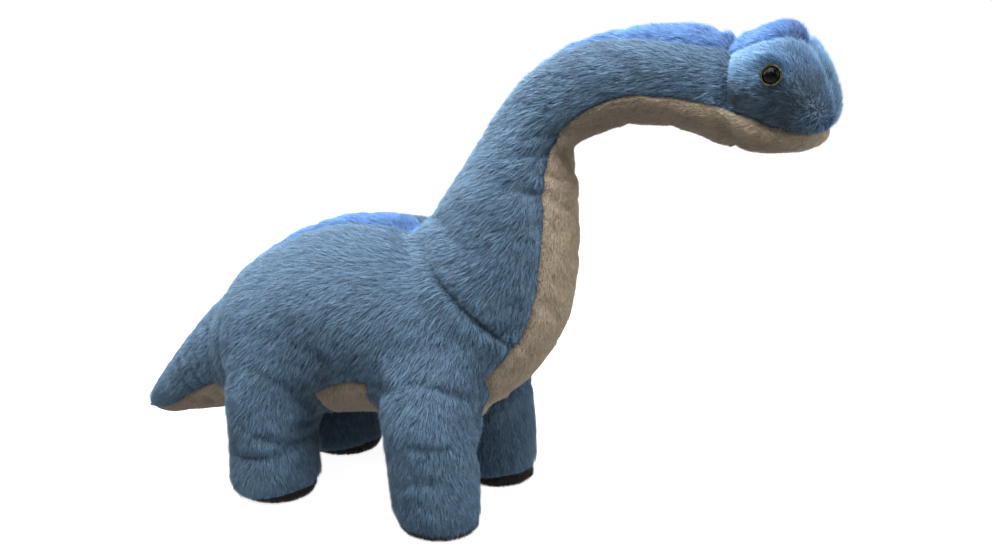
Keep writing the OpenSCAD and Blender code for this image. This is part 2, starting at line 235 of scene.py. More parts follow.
def add_hull(bm, points):
    hull = bmesh.new()
    for p in points:
        hull.verts.new(p)
    made = bmesh.ops.convex_hull(hull, input=hull.verts)
    inner = [v for v in made["geom_interior"] if isinstance(v, bmesh.types.BMVert)]
    bmesh.ops.delete(hull, geom=inner, context="VERTS")
    mesh = bpy.data.meshes.new("hull")
    hull.to_mesh(mesh)
    hull.free()
    bm.from_mesh(mesh)
    bpy.data.meshes.remove(mesh)


def whole_cover():
    """One closed surface round all the panels and soles, with the room for bending filled."""
    bm = bmesh.new()
    soft = PANELS + STUFFINGS
    for n in soft:
        bm.from_mesh(NODES[n].data)
    cloud = np.concatenate([coords(NODES[n].data) for n in soft])
    for body, bend in BENDS.items():
        near = np.linalg.norm(cloud - pivot(body), axis=1) < bend["reach"] + 6 * MM
        add_hull(bm, cloud[near])
    for body in LEGS:
        from_hip = cloud - pivot(body)
        add_hull(bm, cloud[np.linalg.norm(from_hip, axis=1) < THIGH_R])
        outward = from_hip[:, Y] * np.sign(pivot(body)[Y])
        on_haunch = (np.abs(from_hip[:, X]) < HAUNCH_HALF) & (outward > -0.04)
        on_haunch &= (from_hip[:, Z] > HAUNCH_RISE[0]) & (from_hip[:, Z] < HAUNCH_RISE[1])
        add_hull(bm, cloud[on_haunch])
    mesh = bpy.data.meshes.new("cover")
    bm.to_mesh(mesh)
    bm.free()
    cover = remesh(new_object("cover", mesh), VOXEL)
    keep_largest(cover.data)
    return cover


def keep_largest(mesh):
    """Deletes everything but the largest connected surface."""
    bm = bmesh.new()
    bm.from_mesh(mesh)
    bm.verts.ensure_lookup_table()
    seen, islands = set(), []
    for start in bm.verts:
        if start in seen:
            continue
        island, todo = [], [start]
        seen.add(start)
        while todo:
            v = todo.pop()
            island.append(v)
            for e in v.link_edges:
                w = e.other_vert(v)
                if w not in seen:
                    seen.add(w)
                    todo.append(w)
        islands.append(island)
    islands.sort(key=len)
    for island in islands[:-1]:
        bmesh.ops.delete(bm, geom=island, context="VERTS")
    bm.to_mesh(mesh)
    bm.free()


# ---------------------------------------------------------------- which panel is where
def groups_near(p):
    """The bodies whose panels a point of the cover may belong to."""
    if past_seam(p, "head") > 0:
        return ("head",)
    if past_seam(p, "neck") > 0:
        return ("neck",)
    if past_seam(p, "tail") > 0:
        return ("tail",)
    return ("torso", *LEGS)


def panel_trees():
    """For each set of bodies, a search tree over their panels, and each triangle's label."""
    trees = {}
    for group in (("head",), ("neck",), ("tail",), ("torso", *LEGS)):
        points, faces, labels = [], [], []
        for n in PANELS:
            if BODY_OF[n] not in group:
                continue
            mesh = NODES[n].data
            start = len(points)
            points += [v.co.copy() for v in mesh.vertices]
            faces += [[start + i for i in f.vertices] for f in mesh.polygons]
            labels += [LABEL[n]] * len(mesh.polygons)
        trees[group] = (BVHTree.FromPolygons(points, faces), labels)
    return trees


def label_faces(mesh):
    trees = panel_trees()
    labels = np.empty(len(mesh.polygons), np.int64)
    for i, f in enumerate(mesh.polygons):
        p = np.array(f.center)
        tree, of = trees[groups_near(p)]
        labels[i] = of[tree.find_nearest(f.center)[2]]
        if labels[i] == LABEL["head_chin_gusset"] and p[X] > CHIN_SEAM_X and p[Z] > CHIN_SEAM_Z:
            labels[i] = LABEL["head_right_panel" if p[Y] < 0 else "head_left_panel"]
        elif labels[i] == LABEL["belly_gusset"]:
            labels[i] = over_belly(p)
        elif p[X] < TAIL_CAP_X:
            labels[i] = LABEL["tail_top_gusset"]
        elif p[Z] < SOLE_BAND:
            labels[i] = up_to_sole(p, labels[i])
    return labels


def over_belly(p):
    """The panel at a point of the belly: near a hip it is the leg's inner one."""
    for leg in LEGS:
        near = np.abs(p - pivot(leg))
        if near[X] < HIP_COVER[0] and p[Y] * pivot(leg)[Y] > 0 and abs(p[Y]) > HIP_COVER[1]:
            return LABEL[f"{leg}_inner_panel"]
    return LABEL["belly_gusset"]


def up_to_sole(p, label):
    """The panel low on a foot: the sole's edge shows more before the foot than behind it."""
    leg = BODY_OF[PANELS[label]]
    if leg in LEGS and leg != "front_right_leg" and p[Z] < sole_edge(leg, p[X]):
        return LABEL[leg.replace("_leg", "_sole")]
    return label


def sole_edge(leg, x):
    """How high the edge of a leg's sole shows at a place along the animal."""
    return (6.0 + 8.0 * np.clip((x - pivot(leg)[X]) / (40 * MM), -1, 1)) * MM


def seam_edges(mesh, labels):
    """The edges between two panels, with the labels on their two sides."""
    sides = {}
    for f in mesh.polygons:
        for key in f.edge_keys:
            sides.setdefault(key, []).append(labels[f.index])
    found = [(k, s) for k, s in sides.items() if len(s) == 2 and s[0] != s[1]]
    keys = np.array([k for k, _ in found])
    pairs = np.array([sorted(s) for _, s in found])
    return keys, pairs


def faces_beside(mesh):
    """For each face, the faces that share an edge with it."""
    faces_at = {}
    for f in mesh.polygons:
        for key in f.edge_keys:
            faces_at.setdefault(key, []).append(f.index)
    beside = [[] for _ in mesh.polygons]
    for a, b in (pair for pair in faces_at.values() if len(pair) == 2):
        beside[a].append(b)
        beside[b].append(a)
    return beside


def tidy_labels(beside, labels, rounds=4):
    """Gives a face the label that most of its neighbours have, which clears stray faces."""
    for _ in range(rounds):
        changed = labels.copy()
        for i, others in enumerate(beside):
            values, counts = np.unique(labels[others], return_counts=True)
            best = counts.argmax()
            if values[best] != labels[i] and counts[best] >= 3:
                changed[i] = values[best]
        if (changed == labels).all():
            break
        labels = changed
    return labels


def join_islands(beside, labels, fewest=150):
    """Gives a small patch that is cut off from its panel to the panel that surrounds it."""
    seen = np.zeros(len(labels), bool)
    for start in range(len(labels)):
        if seen[start]:
            continue
        patch, todo = [], [start]
        seen[start] = True
        while todo:
            i = todo.pop()
            patch.append(i)
            for j in beside[i]:
                if not seen[j] and labels[j] == labels[start]:
                    seen[j] = True
                    todo.append(j)
        if len(patch) < fewest:
            around = [labels[j] for i in patch for j in beside[i] if labels[j] != labels[i]]
            labels[patch] = np.bincount(around).argmax()
    return labels


def straighten_seams(mesh, labels, rounds=24):
    """Draws each seam into a smooth line by moving its vertices along the cover."""
    keys, _ = seam_edges(mesh, labels)
    co = coords(mesh)
    degree = np.bincount(keys.ravel(), minlength=len(co))
    free = degree == 2
    for _ in range(rounds):
        mean = neighbour_mean(co, keys, len(co))
        co = np.where(free[:, None], 0.5 * (co + mean), co)
    set_coords(mesh, co)


# ---------------------------------------------------------------- seams, folds and lumps
def seam_kind(pair):
    """What two panels' seam is: between two sections, round a limb or sole, or along a gusset."""
    a, b = (PANELS[i] for i in pair)
    bodies = {BODY_OF[a], BODY_OF[b]}
    if any(body in LEGS for body in bodies):
        return "sole" if len(bodies) == 1 and "sole_plush" in (SLOT_OF[a], SLOT_OF[b]) else "limb"
    if len(bodies) == 2:
        return "section"
    return "edge" if "fur_beige" in (SLOT_OF[a], SLOT_OF[b]) else "gusset"


# Depth and width of the groove that each kind of seam pulls in, in millimetres, how much of the
# pile's length is left at it, and how far from it the pile is whole again.
SEAMS = {
    "section": (4.5, 4.5, 0.45, 7.0),
    "edge": (1.6, 4.0, 0.34, 9.0),
    "gusset": (2.4, 4.0, 0.55, 6.0),
    "sole": (1.5, 3.0, 0.60, 6.0),
}


def seam_distances(co, mesh, labels):
    """How far each point is from the nearest seam of each kind."""
    keys, pairs = seam_edges(mesh, labels)
    kinds = np.array([seam_kind(p) for p in pairs])
    away = {}
    for kind in SEAMS:
        points = np.unique(keys[kinds == kind])
        tree = KDTree(len(points))
        for v in points:
            tree.insert(co[v], int(v))
        tree.balance()
        away[kind] = np.array([tree.find(p)[2] for p in co])
    return away


def groove(away):
    """How deep the seams pull the cover in at each point."""
    return np.max(
        [
            deep * MM * np.exp(-((away[kind] / (wide * MM)) ** 2))
            for kind, (deep, wide, _, _) in SEAMS.items()
        ],
        axis=0,
    )


def seam_trim(away):
    """How much of the pile's length the seams leave at each point."""
    left = np.ones(len(away["section"]))
    for kind, (_, _, share, reach) in SEAMS.items():
        t = np.clip(away[kind] / (reach * MM), 0, 1)
        left = np.minimum(left, share + (1 - share) * t * t * (3 - 2 * t))
    return left


# Folds of the cover: two ends in the mid-plane as x, z, x, z in metres, then depth and width in
# millimetres. They show on both sides of the animal, each warped in its own way, and fade
# towards the mid-plane.
FOLDS = [
    (0.098, 0.372, 0.136, 0.376, 2.6, 5.0),
    (0.099, 0.345, 0.130, 0.333, 3.0, 6.0),
    (0.110, 0.392, 0.150, 0.392, 1.6, 5.0),
    (0.118, 0.360, 0.142, 0.346, 2.2, 4.0),
    (0.125, 0.330, 0.143, 0.320, 1.4, 4.0),
    (0.170, 0.398, 0.196, 0.404, 1.4, 5.0),
    (0.070, 0.318, 0.115, 0.300, 1.5, 7.0),
    (-0.066, 0.217, -0.078, 0.192, 2.2, 3.5),
    (-0.078, 0.176, -0.078, 0.125, 2.0, 12.0),
    (-0.212, 0.185, -0.214, 0.095, 4.5, 6.0),
    (-0.276, 0.140, -0.252, 0.098, 2.4, 4.0),
    (-0.288, 0.134, -0.263, 0.090, 3.2, 4.0),
    (-0.306, 0.112, -0.282, 0.078, 2.8, 3.5),
    (-0.322, 0.096, -0.304, 0.068, 2.0, 3.5),
    (-0.147, 0.081, -0.104, 0.067, 2.4, 5.0),
    (-0.182, 0.053, -0.097, 0.066, 2.6, 5.5),
    (-0.110, 0.085, -0.113, 0.010, 1.8, 6.0),
    (0.025, 0.063, 0.056, 0.066, 1.8, 5.0),
    (0.020, 0.101, 0.067, 0.100, 1.6, 6.0),
]


def fold_depth(co):
    warped = co + 5 * MM * smooth_noise(co, 0.040, 11)
    total = np.zeros(len(co))
    for x0, z0, x1, z1, deep, wide in FOLDS:
        a, b = np.array([x0, z0]), np.array([x1, z1])
        p = warped[:, [X, Z]]
        along = np.clip((p - a) @ (b - a) / ((b - a) @ (b - a)), 0, 1)
        away = np.linalg.norm(p - a - along[:, None] * (b - a), axis=1) / (wide * MM)
        fade = np.sin(np.pi * np.clip(0.15 + 0.7 * along, 0, 1))
        total += deep * MM * fade * (1.4 * np.exp(-(away**2)) - 0.4 * np.exp(-(away**2) / 4))
    return total * np.clip((np.abs(co[:, Y]) - 0.004) / 0.012, 0, 1)


# Haunches: the two ends of each leg's axis in the mid-plane, its radius there, how far it stands
# out from the flank in millimetres, and how wide the step at its edge is.
HAUNCHES = [
    (0.034, 0.000, 0.028, 0.120, 0.046, 2.0, 13.0),
    (-0.156, 0.000, -0.150, 0.130, 0.052, 1.2, 22.0),
]
HAUNCH_TOP = 0.140        # no haunch stands out above this height


def haunch_swell(co):
    """How far the legs' tops stand out from the flanks."""
    total = np.zeros(len(co))
    outside = np.clip((np.abs(co[:, Y]) - 0.060) / 0.025, 0, 1)
    for x0, z0, x1, z1, radius, out, edge in HAUNCHES:
        a, b = np.array([x0, z0]), np.array([x1, z1])
        p = co[:, [X, Z]]
        along = np.clip((p - a) @ (b - a) / ((b - a) @ (b - a)), 0, 1)
        past = np.linalg.norm(p - a - along[:, None] * (b - a), axis=1) - radius
        t = np.clip(0.5 - past / (edge * MM), 0, 1)
        dip = np.exp(-((past - 0.5 * edge * MM) / (edge * MM)) ** 2)
        total += out * MM * (t * t * (3 - 2 * t) - 0.5 * dip)
    return total * outside * np.clip((HAUNCH_TOP - co[:, Z]) / 0.060, 0, 1)


def brow_swell(co):
    """How far the brow stands out and the cheek falls in, on both sides of the head."""
    on_side = np.clip(past_seam(co, "head") / 0.03, 0, 1) * np.clip(np.abs(co[:, Y]) / 0.03, 0, 1)
    total = np.zeros(len(co))
    for (height, wide, far), way in ((BROW, 1), (CHEEK, -1)):
        total += way * far * MM * np.exp(-(((co[:, Z] - height) / wide) ** 2))
    return total * on_side * np.clip((0.372 - co[:, X]) / 0.025, 0, 1)


def share_at_vertices(mesh, inside):
    """How many of the faces round each vertex are marked, from 0 to 1."""
    total, number = np.zeros(len(mesh.vertices)), np.zeros(len(mesh.vertices))
    for f in mesh.polygons:
        corners = list(f.vertices)
        total[corners] += inside[f.index]
        number[corners] += 1
    return total / np.maximum(number, 1)


def puff(cover, labels):
    """The stuffing pushes the cover out while the seams along the gussets and soles hold it, by
    cloth simulation."""
    keys, pairs = seam_edges(cover.data, labels)
    keys = keys[[seam_kind(p) not in ("section", "limb") for p in pairs]]
    held = cover.vertex_groups.new(name="held")
    held.add([int(v) for v in set(keys.ravel())], 1.0, "REPLACE")
    low = [int(i) for i in np.nonzero(coords(cover.data)[:, Z] < 0.012)[0]]
    held.add(low, 1.0, "REPLACE")
    before = coords(cover.data)
    cloth = cover.modifiers.new("puff", "CLOTH")
    s = cloth.settings
    s.vertex_group_mass = "held"
    s.use_pressure = True
    s.uniform_pressure_force = 4.0
    s.effector_weights.gravity = 0
    s.tension_stiffness = 12
    s.compression_stiffness = 8
    s.bending_stiffness = 0.4
    s.shrink_min = -0.02
    s.quality = 5
    cloth.collision_settings.use_collision = False
    cloth.point_cache.frame_start, cloth.point_cache.frame_end = 1, PUFF_FRAMES
    for f in range(1, PUFF_FRAMES + 1):
        bpy.context.scene.frame_set(f)
    apply_modifiers(cover)
    bpy.context.scene.frame_set(1)
    moved = coords(cover.data) - before
    far = np.linalg.norm(moved, axis=1, keepdims=True)
    set_coords(cover.data, before + moved * np.minimum(1, PUFF_CAP / np.maximum(far, 1e-9)))
    cover.vertex_groups.clear()


def ease_bends(mesh, rounds=24, reach=0.018):
    """Rounds off the cover's corners across the two bends that show no corner."""
    co, edges = coords(mesh), edge_list(mesh)
    share = np.zeros(len(co))
    for body in ("head", "tail"):
        near = np.linalg.norm(co - pivot(body), axis=1) < BENDS[body]["reach"] + 0.02
        share = np.maximum(share, near * np.exp(-((past_seam(co, body) / reach) ** 2)))
    for _ in range(rounds):
        co = co + 0.5 * share[:, None] * (neighbour_mean(co, edges, len(co)) - co)
    set_coords(mesh, co)


def dress(cover):
    """Shapes the cover: smooth, puffed between its seams, with grooves, folds and lumps. Returns
    each face's panel, and how much of the pile's length is left at each vertex."""
    mesh = cover.data
    set_coords(mesh, relaxed(coords(mesh), edge_list(mesh), 16))
    ease_bends(mesh)
    beside = faces_beside(mesh)
    labels = join_islands(beside, tidy_labels(beside, label_faces(mesh)))
    straighten_seams(mesh, labels)
    puff(cover, labels)
    mesh = cover.data
    edges = edge_list(mesh)
    set_coords(mesh, relaxed(coords(mesh), edges, 14))
    straighten_seams(mesh, labels)
    co, n = coords(mesh), normals(mesh)
    slots = np.array([SLOT_OF[p] for p in PANELS])[labels]
    beige = share_at_vertices(mesh, slots == "fur_beige")
    crown = share_at_vertices(mesh, labels == LABEL["head_crown_gusset"])
    for _ in range(3):
        crown = 0.5 * (crown + neighbour_mean(np.repeat(crown[:, None], 3, 1), edges, len(co))[:, X])
    sole = sole_share(co)
    away = seam_distances(co, mesh, labels)
    fade_seams(away, co, beige)
    inward = skin_depth(co, beige, crown) * (1 - sole) + SOLE_DEPTH * sole
    lumps = 0.9 * MM * smooth_noise(co, 0.045, 3)[:, X] + 0.5 * MM * smooth_noise(co, 0.016, 4)[:, X]
    folds = fold_depth(co)
    inward = inward + (groove(away) + folds + lumps) * (1 - sole) + eye_hollow(co)
    set_coords(mesh, co - inward[:, None] * n)
    settle_soles(mesh)
    deep, share = FOLD_TRIM
    return labels, seam_trim(away) * (1 - share * np.clip(folds / deep, 0, 1))


def fade_seams(away, co, beige):
    """Makes the seams between sections faint high on the neck and at the tail, and hides them on
    the beige, by setting their distances further away."""
    away["section"] += SEAM_HIDE * beige
    high = np.clip((co[:, Z] - NAPE[0]) / NAPE[1], 0, 1) * (co[:, X] < HEAD_ROOT_X)
    away["section"] += SEAM_FADE * np.maximum(high, co[:, X] < TAIL_ROOT_X)


def skin_depth(co, beige, crown):
    """How far the skin is drawn in under the tips of its pile, less what the body swells."""
    foot = np.clip((0.045 - co[:, Z]) / 0.035, 0, 1) * (co[:, X] < REAR_FEET_X)
    depth = SKIN_DEPTH * (1 - beige) + BEIGE_DEPTH * beige + CREST_DROP * crown
    return depth - FOOT_SWELL * foot - haunch_swell(co) - brow_swell(co)


def sole_share(co):
    """1 on the soles, 0 above the feet."""
    return np.clip((0.012 - co[:, Z]) / 0.008, 0, 1)


def settle_soles(mesh):
    """Flattens what would lie under the floor."""
    co = coords(mesh)
    co[:, Z] = np.maximum(co[:, Z], FLOOR_Z + SOLE_DEPTH)
    set_coords(mesh, co)


# ---------------------------------------------------------------- eyes
def eye_centre(side):
    low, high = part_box(f"{side}_iris_ring")
    return np.array((low + high) / 2)


EYE_R = (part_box("right_iris_ring")[1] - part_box("right_iris_ring")[0])[Z] / 2
EYES = [eye_centre("right"), eye_centre("left")]


def eye_distance(co):
    return np.minimum(*[np.linalg.norm(co - e, axis=1) for e in EYES])


def eye_hollow(co):
    """The washer pulls the cover in round each eye."""
    return EYE_PULL * np.exp(-((eye_distance(co) / (1.6 * EYE_R)) ** 2))


# ---------------------------------------------------------------- materials
def linear(r, g, b):
    """A colour given as 0 to 255 in sRGB, as linear numbers."""
    def one(c):
        c /= 255
        return c / 12.92 if c <= 0.04045 else ((c + 0.055) / 1.055) ** 2.4
    return (one(r), one(g), one(b), 1.0)


# The pile in each slot: its middle shade as sRGB, how much its three shades differ, and how
# dark its roots are painted against its tips, as painted shade down among the strands.
FUR = {
    "fur_steel_blue": ((110, 143, 172), 0.15, 0.82),
    "fur_bright_blue": ((107, 154, 214), 0.13, 0.82),
    "fur_beige": ((222, 204, 178), 0.04, 0.92),
    "sole_plush": ((38, 27, 26), 0.15, 0.80),
}


def shaded(colour, by):
    return tuple(min(255, c * by) for c in colour)


def principled(name):
    m = bpy.data.materials.new(name)
    m.use_nodes = True
    return m, m.node_tree.nodes["Principled BSDF"]


def pile_material(name, colour):
    """Flat colour for one shade of strand: the variation comes from mixing strands."""
    m, s = principled(name)
    s.inputs["Base Color"].default_value = linear(*colour)
    s.inputs["Roughness"].default_value = 0.62
    s.inputs["Specular IOR Level"].default_value = 0.35
    s.inputs["Sheen Weight"].default_value = 0.5
    s.inputs["Sheen Roughness"].default_value = 0.4
    return m


def pile_materials(slot, spread=None):
    """Root and tip materials of each tone, in the order of the strands' material numbers."""
    colour, usual, root = FUR[slot]
    spread = spread or usual
    made = []
    for k, tone in enumerate((1 - spread, 1.0, 1 + spread)):
        # a root is painted darker than its tip: painted shade down among the strands
        made.append(pile_material(f"{slot}_root_{k}", shaded(colour, tone * root)))
        made.append(pile_material(f"{slot}_tip_{k}", shaded(colour, tone)))
    return made


def noise_colour(m, shader, dark, light, scale, detail=6.0):
    """A procedural mottle between two colours, and a bump from the same noise."""
    tree = m.node_tree
    place = tree.nodes.new("ShaderNodeTexCoord")
    mottle = tree.nodes.new("ShaderNodeTexNoise")
    mottle.inputs["Scale"].default_value = scale
    mottle.inputs["Detail"].default_value = detail
    ramp = tree.nodes.new("ShaderNodeValToRGB")
    ramp.color_ramp.elements[0].position = 0.35
    ramp.color_ramp.elements[1].position = 0.65
    ramp.color_ramp.elements[0].color = dark
    ramp.color_ramp.elements[1].color = light
    bump = tree.nodes.new("ShaderNodeBump")
    bump.inputs["Strength"].default_value = 0.5
    bump.inputs["Distance"].default_value = 0.001
    tree.links.new(place.outputs["Object"], mottle.inputs["Vector"])
    tree.links.new(mottle.outputs["Fac"], ramp.inputs["Fac"])
    tree.links.new(ramp.outputs["Color"], shader.inputs["Base Color"])
    tree.links.new(mottle.outputs["Fac"], bump.inputs["Height"])
    tree.links.new(bump.outputs["Normal"], shader.inputs["Normal"])


def backing_material(slot):
    m, s = principled(f"{slot}_backing")
    s.inputs["Roughness"].default_value = 0.9
    colour, _, root = FUR[slot]
    # the backing is painted darker than the pile's roots: painted shade under the pile
    noise_colour(
        m, s, linear(*shaded(colour, 0.75 * root)), linear(*shaded(colour, 0.95 * root)), 900
    )
    return m


def stuffing_material():
    m, s = principled("polyester_fibre")
    s.inputs["Roughness"].default_value = 0.85
    noise_colour(m, s, linear(214, 212, 206), linear(246, 245, 241), 400)
    return m


def eye_material():
    m, s = principled("eye_black")
    s.inputs["Roughness"].default_value = 0.07
    s.inputs["Specular IOR Level"].default_value = 0.07
    noise_colour(m, s, linear(5, 5, 6), linear(14, 11, 11), 300, 2.0)
    return m


def iris_material():
    m, s = principled("iris_gold")
    s.inputs["Roughness"].default_value = 0.28
    s.inputs["Metallic"].default_value = 0.85
    noise_colour(m, s, linear(86, 86, 60), linear(138, 136, 98), 500, 2.0)
    return m


def washer_material():
    m, s = principled("washer_plastic")
    s.inputs["Roughness"].default_value = 0.45
    noise_colour(m, s, linear(222, 221, 214), linear(236, 235, 229), 700)
    return m


# ---------------------------------------------------------------- pieces, with the torso's parented to it
def follow(obj, body):
    """Parents a torso piece to the torso; for another body it works out where a bend across its joint would start
    and end, uses neither, and only bakes the piece's transform into its mesh.
    """
    if body == "torso":
        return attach(obj, "torso")
    centre = pivot(body)
    if body in BENDS:
        bend = BENDS[body]
        way = bend["ahead"] * seam_forward(body)
        start, end = centre + bend["start"] * way, centre + bend["end"] * way
    else:
        start, end = centre.copy(), centre.copy()
        start[Z], end[Z] = LEG_BLEND
    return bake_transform(obj)


def shade_smooth(mesh):
    mesh.polygons.foreach_set("use_smooth", np.ones(len(mesh.polygons), bool))


def cut_panel(cover, labels, node, backing):
    """One panel's skin: its faces of the cover, given the thickness of the fabric."""
    bm = bmesh.new()
    bm.from_mesh(cover.data)
    bm.faces.ensure_lookup_table()
    others = [f for f in bm.faces if labels[f.index] != LABEL[node]]
    bmesh.ops.delete(bm, geom=others, context="FACES")
    name = node.replace("_panel", "_skin") if "_panel" in node else node + "_skin"
    mesh = bpy.data.meshes.new(name)
    bm.to_mesh(mesh)
    bm.free()
    skin = new_object(name, mesh)
    thick = skin.modifiers.new("fabric", "SOLIDIFY")
    thick.thickness = FABRIC
    thick.offset = -1
    apply_modifiers(skin)
    skin.data.materials.clear()
    skin.data.materials.append(backing)
    shade_smooth(skin.data)
    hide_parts(node)
    follow(skin, BODY_OF[node])
    return skin


def thickness(mesh, co, n):
    """How far it is from each vertex straight through to the mesh's other side."""
    tree = BVHTree.FromPolygons(co.tolist(), [list(f.vertices) for f in mesh.polygons])
    starts, ways = co - 0.2 * MM * n, -n
    found = (tree.ray_cast(Vector(p), Vector(w))[3] for p, w in zip(starts, ways))
    return np.array([far if far is not None else 0.0 for far in found])


def make_stuffing(node, material):
    """A lumpy filling, drawn in under the skins. Where it is thin, as at the rims of the torso's
    sockets, it is drawn in less: there it still comes through the back by up to 2 mm, at the
    tail's root and behind the neck."""
    filling = new_object(node.replace("_stuffing", "_filling"), NODES[node].data.copy())
    remesh(filling, 7 * MM)
    mesh = filling.data
    co = relaxed(coords(mesh), edge_list(mesh), 6)
    set_coords(mesh, co)
    n = normals(mesh)
    inset = STUFFING_INSET + 2 * MM * smooth_noise(co, 0.02, 21)[:, X]
    inset = np.minimum(inset, 0.45 * thickness(mesh, co, n))
    set_coords(mesh, co - inset[:, None] * n)
    mesh.materials.clear()
    mesh.materials.append(material)
    shade_smooth(mesh)
    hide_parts(node)
    follow(filling, BODY_OF[node])


# ---------------------------------------------------------------- the pile
# Strokes of the brush: a place in the mid-plane as (x, z), and the way the pile lies there.
STROKES = [
    ((-0.060, 0.290), (-1.0, -0.12)),
    ((-0.030, 0.262), (-0.90, -0.42)),
    ((-0.060, 0.222), (-0.74, -0.67)),
    ((-0.075, 0.170), (-0.42, -0.91)),
    ((-0.080, 0.120), (-0.15, -0.99)),
    ((-0.165, 0.205), (-0.72, -0.69)),
    ((-0.190, 0.130), (-0.36, -0.93)),
    ((-0.290, 0.110), (-0.72, -0.69)),
    ((-0.360, 0.050), (-0.80, -0.60)),
    ((-0.155, 0.050), (-0.05, -1.0)),
    ((0.030, 0.050), (0.0, -1.0)),
    ((0.000, 0.180), (-0.36, -0.93)),
    ((0.060, 0.190), (-0.32, -0.95)),
    ((0.110, 0.190), (-0.40, -0.92)),
    ((0.050, 0.270), (-0.82, -0.57)),
    ((0.130, 0.250), (-0.52, -0.85)),
    ((0.090, 0.330), (-0.76, -0.65)),
    ((0.085, 0.385), (-0.78, -0.62)),
    ((0.150, 0.430), (-0.95, -0.30)),
    ((0.240, 0.445), (-1.0, -0.08)),
    ((0.300, 0.430), (-1.0, -0.15)),
]
# For each kind of pile: the strands' length in millimetres, how far they stand up from the skin
# at the root and at the tip in degrees, how disordered they are, how many stand on each square
# millimetre, and how wide each one is in millimetres.
PILE = {
    "torso": (9.6, 48, 19, 0.20, 1.45, 0.29),
    "neck": (9.6, 48, 19, 0.22, 1.45, 0.29),
    "tail": (9.2, 48, 19, 0.24, 1.45, 0.29),
    "leg": (9.2, 48, 19, 0.24, 1.45, 0.29),
    "head": (8.2, 54, 30, 0.50, 2.00, 0.29),
    "crest": (7.6, 54, 28, 0.30, 2.00, 0.29),
    "beige": (5.0, 36, 13, 0.10, 1.90, 0.30),
    "sole": (2.6, 70, 60, 0.50, 1.20, 0.40),
}
MOST_STRANDS = 64000      # on one panel, which keeps its mesh under the export's face limit
# the face's shades spread wider so that they carry painted light on the brow and snout and painted shade on the
# cheeks
FACE_SPREAD_FOR_PAINTED_LIGHT = 0.33        # how much the three shades of pile differ on the face
SNOUT = np.array([CAD_BOX[1][X], 0, 0.405])


def pile_kind(node):
    special = {"sole_plush": "sole", "fur_beige": "beige"}
    if node == "head_crown_gusset":
        return "crest"
    body = BODY_OF[node]
    return special.get(SLOT_OF[node], "leg" if body in LEGS else body)


def comb(points, kind):
    """The way the pile is brushed at each point, before it is laid along the skin."""
    if kind == "crest":
        return np.tile([-1.0, 0, -0.1], (len(points), 1))
    if kind == "head":
        low = np.clip((0.470 - points[:, [Z]]) / 0.05, 0, 1)
        return unit(unit(points - SNOUT) + np.array([-0.8, 0, 0.05]) - low * np.array([0, 0, 0.5]))
    total = np.zeros_like(points)
    for (x, z), (dx, dz) in STROKES:
        squared = (points[:, X] - x) ** 2 + (points[:, Z] - z) ** 2
        total += np.array([dx, 0, dz]) / (squared + 4e-4)[:, None] ** 2
    return unit(total)


def streaks(points, flow, cell, seed):
    """Noise drawn out along the way the pile lies, as its strands gather in locks."""
    total = np.zeros(len(points))
    for step in range(-2, 3):
        total += smooth_noise(points + step * cell * flow, cell, seed)[:, X]
    return total / 1.3


def scatter(mesh, faces, density, rng):
    """Random points on the faces: their places, normals, and three corners with weights."""
    mesh.calc_loop_triangles()
    tri = np.empty(len(mesh.loop_triangles) * 3, np.int64)
    of = np.empty(len(mesh.loop_triangles), np.int64)
    mesh.loop_triangles.foreach_get("vertices", tri)
    mesh.loop_triangles.foreach_get("polygon_index", of)
    tri = tri.reshape(-1, 3)[faces[of]]
    corners = coords(mesh)[tri]
    area = np.linalg.norm(
        np.cross(corners[:, 1] - corners[:, 0], corners[:, 2] - corners[:, 0]), axis=1
    ) / 2
    count = min(int(area.sum() * density / MM**2), MOST_STRANDS)
    pick = rng.choice(len(tri), count, p=area / area.sum())
    share = rng.random((count, 2))
    share = np.where(share.sum(1, keepdims=True) > 1, 1 - share, share)
    weight = np.column_stack([1 - share.sum(1), share])
    root = (corners[pick] * weight[:, :, None]).sum(1)
    normal = unit((normals(mesh)[tri[pick]] * weight[:, :, None]).sum(1))
    return root, normal, tri[pick], weight


def lay(root, normal, clear, kind, disorder, rng):
    """The way each strand lies along the skin, which turns away from the eyes and up from under
    them, how its lock stands, and how much of its length is left near an eye."""
    brushed = comb(root, kind)
    brushed = unit(brushed - (brushed * normal).sum(1, keepdims=True) * normal)
    lock = streaks(root, brushed, 1.0 * MM, 9)
    flow = brushed + disorder * (
        smooth_noise(root, 0.016, 5) + 0.7 * smooth_noise(root, 0.006, 6)
    )
    flow = flow + 0.10 * rng.normal(size=(len(root), 3))
    near_eye = np.clip((1.9 * EYE_R - clear) / EYE_R, 0, 1)[:, None]
    nearest = np.where(root[:, [Y]] < 0, EYES[0], EYES[1])
    under = np.clip((nearest[:, [Z]] - root[:, [Z]]) / EYE_R - 0.4, 0, 1)
    flow = unit(flow) + 1.2 * near_eye * (1 - under) * unit(root - nearest)
    flow = flow + 1.6 * near_eye * under * np.array([0, 0, 1.0])
    flow = unit(flow - (flow * normal).sum(1, keepdims=True) * normal)
    return flow, lock, 1 - 0.5 * near_eye[:, 0] * (1 - 0.5 * under[:, 0])


